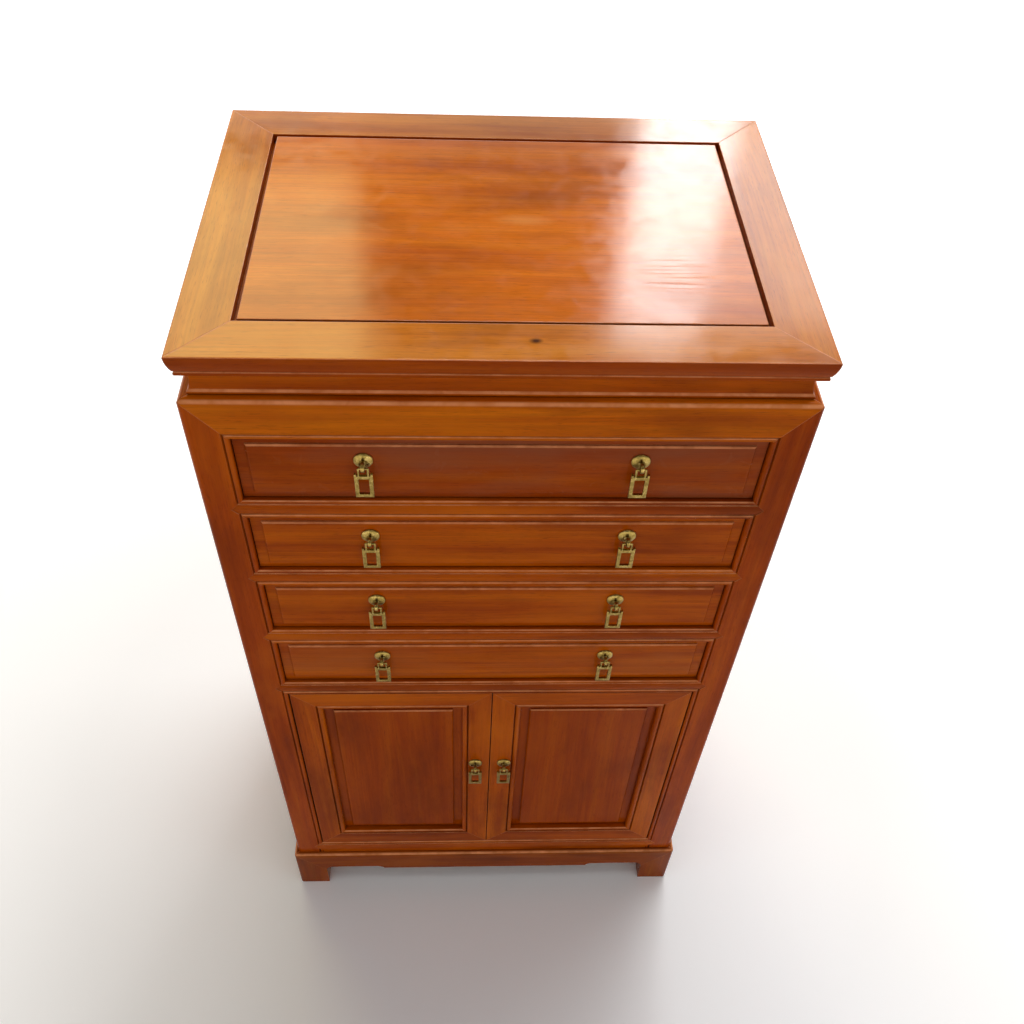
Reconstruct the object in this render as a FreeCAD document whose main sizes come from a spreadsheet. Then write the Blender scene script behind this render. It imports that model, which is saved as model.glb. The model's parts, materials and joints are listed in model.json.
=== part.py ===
import FreeCAD, Part
import math
import os
import Sketcher

# Hardwood cabinet with four equal drawers over two doors. Lengths are in millimetres.
# X runs to the right, Y to the back and Z up. The front faces -Y, and the floor is at Z = 0.

doc = FreeCAD.newDocument("cabinet")
sheet = doc.addObject("Spreadsheet::Sheet", "Sizes")


class Size:
    """A length kept as a formula on the sheet together with its present value."""

    def __init__(self, text, value):
        self.text = text
        self.value = value

    def __add__(self, other):
        other = as_size(other)
        return Size(f"({self.text} + {other.text})", self.value + other.value)

    def __sub__(self, other):
        other = as_size(other)
        return Size(f"({self.text} - {other.text})", self.value - other.value)

    def __mul__(self, other):
        other = as_size(other)
        return Size(f"({self.text} * {other.text})", self.value * other.value)

    def __truediv__(self, other):
        other = as_size(other)
        return Size(f"({self.text} / {other.text})", self.value / other.value)

    def __radd__(self, other):
        return as_size(other) + self

    def __rsub__(self, other):
        return as_size(other) - self

    def __rmul__(self, other):
        return as_size(other) * self

    def __neg__(self):
        return Size(f"(0 - {self.text})", -self.value)


def as_size(thing):
    return thing if isinstance(thing, Size) else Size(f"({thing!r})", float(thing))


# Driving sizes of the whole and of the top
top_width = 510  # width over the top
top_depth = 366  # depth over the top
total_height = 956  # height from floor to top
overhang = 0.5  # top beyond the body on each side
slab_height = 21.5  # thickness of the top frame
frame_width = 44  # width of a top frame member
edge_inset = 3.4  # how far the moulded edge draws in below
edge_bead = 4.5  # height of the bead under the moulded edge
edge_quirk = 1.4  # that bead behind the foot of the moulded edge
edge_round = 0.8  # rounding of the upper edge
edge_curve = 45  # radius of the swelling moulded edge
panel_reveal = 4.5  # groove round the top panel at sides and back
front_reveal = 2.5  # groove along the front of the top panel
tongue = 5  # thickness of the top panel's tongue
tongue_low = 8  # height of that tongue above the slab's underside
tongue_reach = 7  # how far a tongue enters its groove
tongue_room = 1  # room left past a tongue for the wood to move

# Driving sizes of the waist and the body
waist_height = 22.5  # height of the waist
waist_inset = 8  # waist behind the body's face
waist_thick = 14  # thickness of a waist member
waist_hollow = 3  # depth of the waist's hollow
waist_bead = 3.5  # height of the bead at the foot of the waist
waist_quirk = 0.9  # foot of the waist's hollow behind that bead
waist_curve = 46  # radius of the waist's hollow
post_size = 34.5  # width and depth of a post
corner_round = 4  # rounding of the outer corners
shoulder_round = 5  # rounding of the body's upper edge
rail_depth = 20  # depth of every body rail
rail_height = 23  # height of the rails between openings
top_rail_height = 41  # height of the top rails
bottom_rail_height = 27  # height of the front bottom rail
side_rail_height = 40  # height of the bottom rails at sides and back
face_rise = 1  # swelling of a rail's face
face_curve = 23  # radius of that swelling
bead = 2.4  # radius of the bead round the openings
quirk = 1.2  # width of the sunk line beside a bead
drawer_opening = 72.5  # height of a drawer opening
panel_thick = 8  # thickness of side and back panels
panel_sink = 6  # side and back panels behind the post faces
board_thick = 12  # thickness of the cupboard's floor and ceiling
floor_drop = 2  # cupboard floor below the opening's lower edge
runner_width = 22  # width of a drawer runner
runner_height = 11  # height of a drawer runner
stop_width = 120  # length of the door stop
stop_depth = 10  # depth of the door stop
stop_height = 18  # height of the door stop

# Driving sizes of the base
base_height = 88  # height of the base
base_proud = 5.5  # base beyond the body on each side
foot_size = 40  # width and depth of a foot
apron_reach = 48  # height of an apron where it meets a foot
apron_thick = 20  # thickness of an apron
apron_round = 10  # curve from apron into foot
base_round = 5  # rounding of the base's upper edge
cusp_drop = 6  # middle of an apron below its ends
cusp_width = 10  # length of the step in an apron's edge
cusp_curve = 12  # radius of that step
cusp_front = 140  # half length of the low middle at front and back
cusp_side = 80  # half length of the low middle at the sides

# Driving sizes of the drawers
drawer_gap = 0.8  # room round a drawer front
drawer_recess = 5  # sunk border behind the body's face
front_thick = 15  # thickness of a drawer front at its border
front_lap = 6  # wood left in front of a drawer side
field_raise = 2.5  # height of a drawer's raised field
field_border = 9.5  # width of the sunk border at a drawer's ends
field_margin = 7  # width of the sunk border above and below a drawer's field
field_ease = 1.5  # bevel round every raised field
side_thick = 10  # thickness of a drawer side
side_height = 58  # height of a drawer side
slot_reach = 5  # how far a drawer bottom enters its slots
slot_low = 8  # drawer bottom above the lower edge of the sides
bottom_thick = 5  # thickness of a drawer bottom
slide_gap = 0.3  # room between drawer and runner
stop_gap = 1  # room behind a closed drawer

# Driving sizes of the doors
door_gap = 1  # room above, below and between the doors
hinge_gap = 1.6  # room beside a door's hanging edge
door_recess = 1  # door behind the body's face
door_thick = 20  # thickness of a door
stile_width = 32  # width of a door frame member
leaf_low = 6  # door panel in front of the door's back
leaf_thick = 6  # thickness of a door panel at its border
leaf_border = 10.5  # sunk border of a door panel
leaf_raise = 4  # height of a door panel's raised field
door_bead = 3  # radius of the bead inside a door's frame
pivot_in = 15  # door pivot from the door's hanging edge
pivot_back = 4.5  # door pivot behind the door's face
pin_radius = 2  # radius of a door pivot
pin_depth = 10  # pivot inside its rail
pin_reach = 7  # pivot inside its door
pin_seat = 0.02  # room round a pivot in its rail
pin_play = 0.05  # room round a pivot in its door

# Driving sizes of the pulls
pull_spread = 115  # drawer pull from the middle
pull_lift = 12  # drawer pull above the middle of its drawer
door_pull_in = 17  # door pull from the meeting edge
door_pull_lift = 31  # door pull above the middle of its door
rose_radius = 8.2  # radius of a rose
rose_height = 3.5  # height of a rose
rose_rim = 0.8  # height of a rose's rim
shank_room = 0.2  # room round an eye's shank in its slot
eye_outer = 4.5  # outer radius of an eye
eye_strip = 1.2  # thickness of the eye's strip
eye_width = 3  # width of the eye's strip
eye_room = 0.2  # room between eye and rose
tail_reach = 9  # length of a spread tail behind the wood
wire = 1.1  # radius of the round bar of a drop's shackle
wire_play = 0.1  # room between shackle and eye
shackle_half = 4  # half width of a shackle
shackle_drop = 8  # top of a drop below its shackle
drop_width = 15.5  # width of a drop
drop_height = 25  # height of a drop
drop_bar = 3.4  # width of a drop's bars
drop_thick = 3  # thickness of a drop
ear = 2.2  # height of the ears on a drop's upper corners
ear_width = 1.8  # width of an ear
margin = 1  # how far cutting outlines run past the wood

# Each size above goes on the sheet, and from here on its name stands for its cell there
driving = {name: value for name, value in globals().items() if type(value) in (int, float)}
for row, (name, value) in enumerate(driving.items(), 1):
    sheet.set(f"A{row}", name)
    sheet.set(f"B{row}", str(value))
    sheet.setAlias(f"B{row}", name)
    globals()[name] = Size(f"Sizes.{name}", float(value))

DRAWERS = 4
ROSE_SIDES = 14
EYE_SIDES = 12
BAR_SIDES = 8
# The radius of a shallow bead as a share of its height
BEAD_FULLNESS = 0.6

# Sizes that follow from the driving ones
body_width = top_width - 2 * overhang
body_depth = top_depth - 2 * overhang
base_width = body_width + 2 * base_proud
base_depth = body_depth + 2 * base_proud
front = -(body_depth / 2)
slab_low = total_height - slab_height
body_top = slab_low - waist_height
opening = body_width - 2 * post_size
opening_top = body_top - top_rail_height
pitch = drawer_opening + rail_height
door_top = opening_top - DRAWERS * pitch
door_low = base_height + bottom_rail_height
post_height = body_top - base_height
field_face = front + drawer_recess - field_raise
door_face = front + door_recess
eye_ahead = rose_height + eye_room + eye_outer
bar_drop = eye_outer - eye_strip - wire - wire_play
# The door pulls reach further forward than the base reaches back, so the plan is centred on the whole.
pull_reach = eye_ahead + eye_outer - door_recess
set_back = (pull_reach - base_proud) / 2

doc.recompute()


def bind(thing, name, amount):
    thing.setExpression(name, as_size(amount).text)


def turned(angle, axis=(0, 0, 1)):
    return FreeCAD.Rotation(FreeCAD.Vector(*axis), angle)


def place(thing, x, y, z, rotation=None):
    """Puts a piece at a point given from the middle of the cabinet's plan."""
    spot = [as_size(x), as_size(y) + set_back, as_size(z)]
    base = FreeCAD.Vector(*[amount.value for amount in spot])
    thing.Placement = FreeCAD.Placement(base, rotation or FreeCAD.Rotation())
    for axis, amount in zip("xyz", spot):
        bind(thing, f"Placement.Base.{axis}", amount)
    return thing


def new_body(label):
    body = doc.addObject("PartDesign::Body", "Body")
    body.Label = label
    return body


def origin_feature(body, role):
    return next(f for f in body.Origin.OriginFeatures if f.Role == role)


def new_sketch(body, plane, offset=None):
    sketch = body.newObject("Sketcher::SketchObject", "Sketch")
    sketch.AttachmentSupport = (origin_feature(body, f"{plane}_Plane"), [""])
    sketch.MapMode = "FlatFace"
    if offset is not None:
        bind(sketch, "AttachmentOffset.Base.z", offset)
    return sketch


def dimension(sketch, kind, geometry, point, amount):
    """Holds one coordinate of a sketch point at a size measured from the origin."""
    amount = as_size(amount)
    if amount.value == 0:
        axis = -2 if kind == "DistanceX" else -1
        sketch.addConstraint(Sketcher.Constraint("PointOnObject", geometry, point, axis))
        return
    index = sketch.addConstraint(Sketcher.Constraint(kind, -1, 1, geometry, point, amount.value))
    bind(sketch, f"Constraints[{index}]", amount)


def arc_between(start, end, radius, turn):
    """The arc under a half circle from start to end; turn is 1 for anticlockwise and -1 for clockwise."""
    chord = end - start
    away = (max(radius ** 2 - (chord.Length / 2) ** 2, 0)) ** 0.5
    side = FreeCAD.Vector(-chord.y, chord.x, 0).normalize() * (turn * away)
    centre = (start + end) * 0.5 + side
    circle = Part.Circle(centre, FreeCAD.Vector(0, 0, 1), radius)
    first, last = (start, end) if turn > 0 else (end, start)
    return Part.ArcOfCircle(circle, circle.parameter(first), circle.parameter(last))


def draw_path(sketch, corners, closed=True):
    """Draws lines and arcs through corners (x, y), or (x, y, radius, turn) where an arc follows."""
    points = [FreeCAD.Vector(as_size(c[0]).value, as_size(c[1]).value, 0) for c in corners]
    count = len(corners) if closed else len(corners) - 1
    ends = []
    for i in range(count):
        start, end = points[i], points[(i + 1) % len(points)]
        if len(corners[i]) == 4:
            radius, turn = as_size(corners[i][2]), corners[i][3]
            index = sketch.addGeometry(arc_between(start, end, radius.value, turn), False)
            limit = sketch.addConstraint(Sketcher.Constraint("Radius", index, radius.value))
            bind(sketch, f"Constraints[{limit}]", radius)
            ends.append((index, 1, 2) if turn > 0 else (index, 2, 1))
        else:
            index = sketch.addGeometry(Part.LineSegment(start, end), False)
            ends.append((index, 1, 2))
    for i, (index, first, last) in enumerate(ends):
        dimension(sketch, "DistanceX", index, first, corners[i][0])
        dimension(sketch, "DistanceY", index, first, corners[i][1])
        if closed or i + 1 < count:
            after = ends[(i + 1) % count]
            sketch.addConstraint(Sketcher.Constraint("Coincident", index, last, after[0], after[1]))
        else:
            dimension(sketch, "DistanceX", index, last, corners[-1][0])
            dimension(sketch, "DistanceY", index, last, corners[-1][1])


def draw_circle(sketch, x, y, radius):
    centre = FreeCAD.Vector(as_size(x).value, as_size(y).value, 0)
    index = sketch.addGeometry(Part.Circle(centre, FreeCAD.Vector(0, 0, 1), as_size(radius).value), False)
    limit = sketch.addConstraint(Sketcher.Constraint("Radius", index, as_size(radius).value))
    bind(sketch, f"Constraints[{limit}]", radius)
    dimension(sketch, "DistanceX", index, 3, x)
    dimension(sketch, "DistanceY", index, 3, y)


def box_path(x0, y0, x1, y1):
    return [(x0, y0), (x1, y0), (x1, y1), (x0, y1)]


def mirrored(corners):
    """The same outline on the other side of the vertical axis."""
    flipped = []
    for i in range(len(corners) - 1, -1, -1):
        flipped.append((-as_size(corners[i][0]), corners[i][1], *corners[i - 1][2:]))
    return flipped


def pad(body, sketch, length, both_ways=False, backwards=False):
    feature = body.newObject("PartDesign::Pad", "Pad")
    feature.Profile = sketch
    bind(feature, "Length", length)
    feature.SideType = "Symmetric" if both_ways else "One side"
    feature.Reversed = backwards
    return feature


def bevel_front(body, feature, size):
    """Bevels every edge of the foremost face that a feature has so far."""
    doc.recompute()
    faces = feature.Shape.Faces
    foremost = min(range(len(faces)), key=lambda i: faces[i].CenterOfMass.y)
    cut = body.newObject("PartDesign::Chamfer", "Bevel")
    cut.Base = (feature, [f"Face{foremost + 1}"])
    bind(cut, "Size", size)
    return cut


def pocket(body, sketch, depth=None):
    """Cuts to the given depth on both sides of the sketch, or right through."""
    feature = body.newObject("PartDesign::Pocket", "Pocket")
    feature.Profile = sketch
    feature.SideType = "Symmetric"
    if depth is None:
        feature.Type = "ThroughAll"
    else:
        bind(feature, "Length", 2 * depth)
    return feature


def cut_paths(body, plane, paths, depth=None, offset=None):
    sketch = new_sketch(body, plane, offset)
    for path in paths:
        draw_path(sketch, path)
    return pocket(body, sketch, depth)


def cut_holes(body, plane, spots, radius, depth=None, offset=None):
    sketch = new_sketch(body, plane, offset)
    for x, y in spots:
        draw_circle(sketch, x, y, radius)
    return pocket(body, sketch, depth)


def block(label, width, depth, height):
    """A plain board, centred on X, from Y = 0 backwards and from Z = 0 up."""
    body = new_body(label)
    sketch = new_sketch(body, "XY")
    draw_path(sketch, box_path(-(width / 2), 0, width / 2, depth))
    pad(body, sketch, height)
    return body


def moulding(label, section, length):
    """A member along X whose section is drawn as (distance behind its face, height)."""
    body = new_body(label)
    sketch = new_sketch(body, "YZ")
    draw_path(sketch, section)
    pad(body, sketch, length, both_ways=True)
    return body


def cut_plan_mitres(body, length, width, rounding=None):
    """Mitres both ends in plan, with the outer corner rounded where a radius is given."""
    end = length / 2
    path = [(end + margin, width + margin), (end - width - margin, width + margin)]
    if rounding is None:
        path.append((end + margin, -margin))
    else:
        tip = rounding * (1 - 0.5 ** 0.5)
        path.append((end - tip, tip, rounding, -1))
        path.append((end - rounding, 0))
        path.append((end - rounding, -margin))
        path.append((end + margin, -margin))
    cut_paths(body, "XY", [path, mirrored(path)])


def cut_corner_mitres(body, length, height, width):
    """Cuts both ends along the line from the upper outer corner to the post's inner edge."""
    end = length / 2
    slope = height / width
    past = slope * margin
    path = [(end + margin, height + past), (end - width - margin, -past), (end + margin, -past)]
    cut_paths(body, "XZ", [path, mirrored(path)])


def half_round(x, y, step_x, step_y):
    """Corners of a bead that starts at (x, y), with its crown half way along and out by its radius."""
    return [(x, y, bead, -1), (x + step_x, y + step_y, bead, -1)]


def post(label, section, height, hand, mitre_width, mitre_height, rail):
    """A corner post from Z = 0 up, whose head is notched so that it meets two rails in mitres."""
    body = new_body(label)
    sketch = new_sketch(body, "XY")
    draw_path(sketch, section if hand > 0 else mirrored(section))
    pad(body, sketch, height)
    past = mitre_height / mitre_width * margin
    outer = mitre_width + margin
    notch = [(-margin, height + past), (outer, height - mitre_height - past), (outer, height + past)]
    cut_paths(body, "XZ", [notch if hand > 0 else mirrored(notch)], rail)
    cut_paths(body, "YZ", [notch], rail)
    return body


nodes = []


def node(thing):
    """Marks one finished piece for writing."""
    nodes.append(thing)
    return thing


def group(label, things):
    """One node that holds several separate pieces."""
    compound = doc.addObject("Part::Compound", "Group")
    compound.Label = label
    compound.Links = things
    return node(compound)


def cut_from(label, base, tool):
    cut = doc.addObject("Part::Cut", "Cut")
    cut.Label = label
    cut.Base = base
    cut.Tool = tool
    return cut


SIDES = (("front", 0), ("right", 90), ("back", 180), ("left", 270))


def place_round(thing, side, half_width, half_depth, z):
    """Puts a member that was drawn as a front one on any of the four sides."""
    spots = {
        "front": (0, -half_depth),
        "right": (half_width, 0),
        "back": (0, half_depth),
        "left": (-half_width, 0),
    }
    x, y = spots[side]
    return place(thing, x, y, z, turned(dict(SIDES)[side]))


# Top: four mitred members with a moulded edge, and a loose panel whose tongue runs in their grooves
groove_end = frame_width - tongue_reach - tongue_room
edge_low = edge_inset + edge_quirk
top_section = [
    (edge_low, 0, edge_bead * BEAD_FULLNESS, -1),
    (edge_low, edge_bead),
    (edge_inset, edge_bead + margin, edge_curve, -1),
    (0, slab_height - edge_round, edge_round, -1),
    (edge_round, slab_height),
    (frame_width, slab_height),
    (frame_width, tongue_low + tongue),
    (groove_end, tongue_low + tongue),
    (groove_end, tongue_low),
    (frame_width, tongue_low),
    (frame_width, 0),
]
for side, angle in SIDES:
    length = top_width if side in ("front", "back") else top_depth
    member = moulding(f"top_frame_{side}", top_section, length)
    cut_plan_mitres(member, length, frame_width)
    node(place_round(member, side, top_width / 2, top_depth / 2, slab_low))

panel_half = top_width / 2 - frame_width
panel_back = top_depth / 2 - frame_width
top_panel = new_body("top_panel")
tongue_plate = new_sketch(top_panel, "XY", tongue_low)
draw_path(tongue_plate, box_path(-panel_half - tongue_reach, -panel_back - tongue_reach,
                                 panel_half + tongue_reach, panel_back + tongue_reach))
pad(top_panel, tongue_plate, tongue)
raised_plate = new_sketch(top_panel, "XY", tongue_low + tongue)
draw_path(raised_plate, box_path(panel_reveal - panel_half, front_reveal - panel_back,
                                 panel_half - panel_reveal, panel_back - panel_reveal))
pad(top_panel, raised_plate, slab_height - tongue_low - tongue)
node(place(top_panel, 0, 0, slab_low))

# Waist: four hollow members with a bead at the foot
waist_section = [
    (waist_quirk, 0, waist_bead * BEAD_FULLNESS, -1),
    (waist_quirk, waist_bead),
    (2 * waist_quirk, waist_bead + margin, waist_curve, 1),
    (waist_hollow, waist_height),
    (waist_thick, waist_height),
    (waist_thick, 0),
]
waist_width = body_width - 2 * waist_inset
waist_depth = body_depth - 2 * waist_inset
waist_members = []
for side, angle in SIDES:
    length = waist_width if side in ("front", "back") else waist_depth
    member = moulding(f"waist_{side}", waist_section, length)
    cut_plan_mitres(member, length, waist_thick)
    waist_members.append(place_round(member, side, waist_width / 2, waist_depth / 2, body_top))
group("waist", waist_members)

# Body posts: beaded inner edge at the front, grooves for the side and back panels
panel_slot = panel_sink + panel_thick
slot_end = post_size - tongue_reach - tongue_room
side_groove = [
    (panel_slot, post_size),
    (panel_slot, slot_end),
    (panel_sink, slot_end),
    (panel_sink, post_size),
]
outer_corner = [(0, post_size), (0, corner_round, corner_round, 1), (corner_round, 0)]
front_section = [
    (post_size - 2 * bead - quirk, 0),
    (post_size - 2 * bead, bead, bead, 1),
    (post_size - bead, 0, bead, 1),
    (post_size, bead),
    (post_size, post_size),
    *side_groove,
    *outer_corner,
]
back_section = [
    (post_size, 0),
    (post_size, panel_sink),
    (slot_end, panel_sink),
    (slot_end, panel_slot),
    (post_size, panel_slot),
    (post_size, post_size),
    *side_groove,
    *outer_corner,
]
rail_tops = [opening_top - (k + 1) * pitch + rail_height for k in range(DRAWERS)]
point = rail_height / 2
point_heights = [top - base_height - point for top in rail_tops + [door_low]]
post_reach = post_size + margin
for name, hand in (("left", 1), ("right", -1)):
    head = (post_size, top_rail_height, rail_depth)
    member = post(f"front_{name}_post", front_section, post_height, hand, *head)
    for z in point_heights:
        notch = [(post_reach, z + point + margin), (post_size - point, z), (post_reach, z - point - margin)]
        cut_paths(member, "XZ", [notch if hand > 0 else mirrored(notch)], rail_depth)
    node(place(member, -hand * (body_width / 2), front, base_height))
    member = post(f"back_{name}_post", back_section, post_height, -hand, *head)
    node(place(member, -hand * (body_width / 2), -front, base_height, turned(180)))

# Body rails: beads along the openings, points that fit the notches in the posts, and mitres at the top
lower_bead = [*half_round(bead, 0, -bead, bead), (bead, 2 * bead)]


def upper_bead(height):
    return [*half_round(bead, height - 2 * bead, -bead, bead), (bead, height)]


face_edge = 2 * bead + quirk
rail_section = [
    (rail_depth, 0),
    *lower_bead,
    (face_rise, face_edge, face_curve, -1),
    (face_rise, rail_height - face_edge),
    *upper_bead(rail_height),
    (rail_depth, rail_height),
]
top_rail_section = [
    (rail_depth, 0),
    *lower_bead,
    (0, face_edge),
    (0, top_rail_height - shoulder_round, shoulder_round, -1),
    (shoulder_round, top_rail_height),
    (rail_depth, top_rail_height),
]
bottom_rail_section = [
    (rail_depth, 0),
    (0, 0),
    (0, bottom_rail_height - face_edge),
    *upper_bead(bottom_rail_height),
    (rail_depth, bottom_rail_height),
]
pivot_x = opening / 2 - hinge_gap - pivot_in
pivot_y = door_recess + pivot_back


def pointed_rail(label, section, height):
    """A front rail whose ends are points, as tall as the rails between drawers, let into the posts."""
    body = moulding(label, section, opening + 2 * point)
    end = opening / 2
    path = [
        (end, -margin),
        (end, height - rail_height),
        (end + point, height - point),
        (end, height),
        (end, height + margin),
        (end + rail_height, height + margin),
        (end + rail_height, -margin),
    ]
    cut_paths(body, "XZ", [path, mirrored(path)])
    return body


def mitred_rail(label, section, length, height, width, depth):
    """A rail that meets a post and the next rail in mitres at both ends."""
    body = moulding(label, section, length)
    cut_corner_mitres(body, length, height, width)
    cut_plan_mitres(body, length, depth, corner_round)
    return body


rail_head = (top_rail_height, post_size, rail_depth)
member = mitred_rail("front_top_rail", top_rail_section, body_width, *rail_head)
node(place(member, 0, front, body_top - top_rail_height))
pivot_spots = [(-pivot_x, pivot_y), (pivot_x, pivot_y)]
for k, top in enumerate(rail_tops):
    member = pointed_rail(f"front_rail_{k + 1}", rail_section, rail_height)
    if k == DRAWERS - 1:
        cut_holes(member, "XY", pivot_spots, pin_radius + pin_seat, pin_depth)
    node(place(member, 0, front, top - rail_height))
member = pointed_rail("front_bottom_rail", bottom_rail_section, bottom_rail_height)
cut_holes(member, "XY", pivot_spots, pin_radius + pin_seat, pin_depth, bottom_rail_height)
node(place(member, 0, front, base_height))

groove_depth = tongue_reach + tongue_room
plain_top_section = [
    (0, 0),
    (0, top_rail_height - shoulder_round, shoulder_round, -1),
    (shoulder_round, top_rail_height),
    (rail_depth, top_rail_height),
    (rail_depth, 0),
    (panel_slot, 0),
    (panel_slot, groove_depth),
    (panel_sink, groove_depth),
    (panel_sink, 0),
]
plain_low_section = [
    (0, 0),
    (0, side_rail_height),
    (panel_sink, side_rail_height),
    (panel_sink, side_rail_height - tongue_reach),
    (panel_slot, side_rail_height - tongue_reach),
    (panel_slot, side_rail_height),
    (rail_depth, side_rail_height),
    (rail_depth, 0),
]
panel_low = base_height + side_rail_height - tongue_reach
panel_height = opening_top + tongue_reach - panel_low
for side, angle in SIDES[1:]:
    length = body_width if side == "back" else body_depth
    between = length - 2 * post_size
    upper = mitred_rail(f"{side}_top_rail", plain_top_section, length, *rail_head)
    place_round(upper, side, body_width / 2, body_depth / 2, body_top - top_rail_height)
    lower = moulding(f"{side}_bottom_rail", plain_low_section, between)
    place_round(lower, side, body_width / 2, body_depth / 2, base_height)
    group(f"{side}_rails", [upper, lower])
    board = block(f"{side}_panel", between + 2 * tongue_reach, panel_thick, panel_height)
    node(place_round(board, side, body_width / 2 - panel_sink, body_depth / 2 - panel_sink, panel_low))


# Inner boards of the cupboard, notched round the posts, with the runners and the door stop
def notched_board(label, wall):
    """A board that fills the body's inside between walls of the given depth, notched round the posts."""
    body = new_body(label)
    sketch = new_sketch(body, "XY")
    inner_half = body_width / 2 - wall
    post_back = body_depth - post_size
    right_edge = [
        (opening / 2, rail_depth),
        (opening / 2, post_size),
        (inner_half, post_size),
        (inner_half, post_back),
        (opening / 2, post_back),
        (opening / 2, body_depth - wall),
    ]
    left_edge = [(-x, y) for x, y in reversed(right_edge)]
    draw_path(sketch, right_edge + left_edge)
    pad(body, sketch, board_thick)
    return body


floor_board = notched_board("cupboard_floor", rail_depth)
place(floor_board, 0, front, door_low - floor_drop - board_thick)
ceiling_board = notched_board("cupboard_ceiling", panel_slot)
place(ceiling_board, 0, front, door_top)
group("cupboard_boards", [floor_board, ceiling_board])

runners = []
runner_length = body_depth - panel_slot - rail_depth
runner_x = opening / 2 - runner_width / 2
for k, top in enumerate(rail_tops):
    for name, hand in (("left", -1), ("right", 1)):
        bar = block(f"runner_{k + 1}_{name}", runner_width, runner_length, runner_height)
        runner_low = top + drawer_gap - slide_gap - runner_height
        runners.append(place(bar, hand * runner_x, front + rail_depth, runner_low))
group("drawer_runners", runners)

stop = block("door_stop", stop_width, stop_depth, stop_height)
node(place(stop, 0, door_face + door_thick + slide_gap, door_top - stop_height))

# Base: four feet and four aprons, mitred like the head of the body
foot_section = [
    (corner_round, 0),
    (foot_size, 0),
    (foot_size, foot_size),
    (0, foot_size),
    (0, corner_round, corner_round, 1),
]
feet = []
for name, hand in (("left", 1), ("right", -1)):
    member = post(f"front_{name}_foot", foot_section, base_height, hand, foot_size, apron_reach, apron_thick)
    feet.append(place(member, -hand * (base_width / 2), -(base_depth / 2), 0))
    member = post(f"back_{name}_foot", foot_section, base_height, -hand, foot_size, apron_reach, apron_thick)
    feet.append(place(member, -hand * (base_width / 2), base_depth / 2, 0, turned(180)))
group("base_feet", feet)

apron_section = [
    (0, 0),
    (0, apron_reach - base_round, base_round, -1),
    (base_round, apron_reach),
    (apron_thick, apron_reach),
    (apron_thick, 0),
]
aprons = {"long": [], "short": []}
for side, angle in SIDES:
    length = base_width if side in ("front", "back") else base_depth
    low_half = cusp_front if side in ("front", "back") else cusp_side
    member = mitred_rail(f"base_{side}_apron", apron_section, length, apron_reach, foot_size, apron_thick)
    inner = length / 2 - foot_size
    rise = apron_round - cusp_drop
    half_edge = [
        (inner, -margin),
        (inner, 0, apron_round, 1),
        (inner - apron_round, apron_round),
        (low_half + cusp_width, apron_round, cusp_curve, 1),
        (low_half, rise),
    ]
    other_edge = [
        (-low_half, rise, cusp_curve, 1),
        (-low_half - cusp_width, apron_round),
        (apron_round - inner, apron_round, apron_round, 1),
        (-inner, 0),
        (-inner, -margin),
    ]
    cut_paths(member, "XZ", [half_edge + other_edge])
    place_round(member, side, base_width / 2, base_depth / 2, base_height - apron_reach)
    aprons["long" if side in ("front", "back") else "short"].append(member)
group("base_long_aprons", aprons["long"])
group("base_short_aprons", aprons["short"])


# Pulls: a faceted rose, a strip eye whose tails are spread behind the wood, and a drop that swings in the eye
def polygon(radius, sides, within=False):
    """An even outline whose flats touch the circle of that radius, or that stays within the circle."""
    step = 2 * math.pi / sides
    corner = radius if within else radius / math.cos(step / 2)
    angles = [(i + 0.5) * step for i in range(sides)]
    return [(corner * math.cos(angle), corner * math.sin(angle)) for angle in angles]


def shank_slot(x, y, lying=False):
    """The outline of the slot that an eye's two strips pass through, upright or lying on its side."""
    half_x = eye_width / 2 + shank_room
    half_y = eye_strip + shank_room
    if lying:
        half_x, half_y = half_y, half_x
    return box_path(x - half_x, y - half_y, x + half_x, y + half_y)


def make_rose(label, x, face, z):
    body = new_body(label)
    outline = new_sketch(body, "XZ")
    draw_path(outline, polygon(rose_radius, ROSE_SIDES, within=True))
    bevel_front(body, pad(body, outline, rose_height), rose_height - rose_rim)
    cut_paths(body, "XZ", [shank_slot(as_size(0), as_size(0))])
    return place(body, x, face, z)


def make_eye(label, x, face, z, grip):
    """The ring is drawn round the origin; the shank runs back through the wood, which is grip thick."""
    body = new_body(label)
    ring = new_sketch(body, "YZ")
    draw_path(ring, polygon(eye_outer, EYE_SIDES))
    draw_path(ring, polygon(eye_outer - eye_strip, EYE_SIDES))
    pad(body, ring, eye_width, both_ways=True)
    back = eye_ahead + grip
    shank = new_sketch(body, "YZ")
    draw_path(shank, [
        (eye_outer - eye_strip / 2, -eye_strip),
        (back, -eye_strip),
        (back, -tail_reach),
        (back + eye_strip, -tail_reach),
        (back + eye_strip, tail_reach),
        (back, tail_reach),
        (back, eye_strip),
        (eye_outer - eye_strip / 2, eye_strip),
    ])
    pad(body, shank, eye_width, both_ways=True)
    return place(body, x, face - eye_ahead, z)


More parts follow.
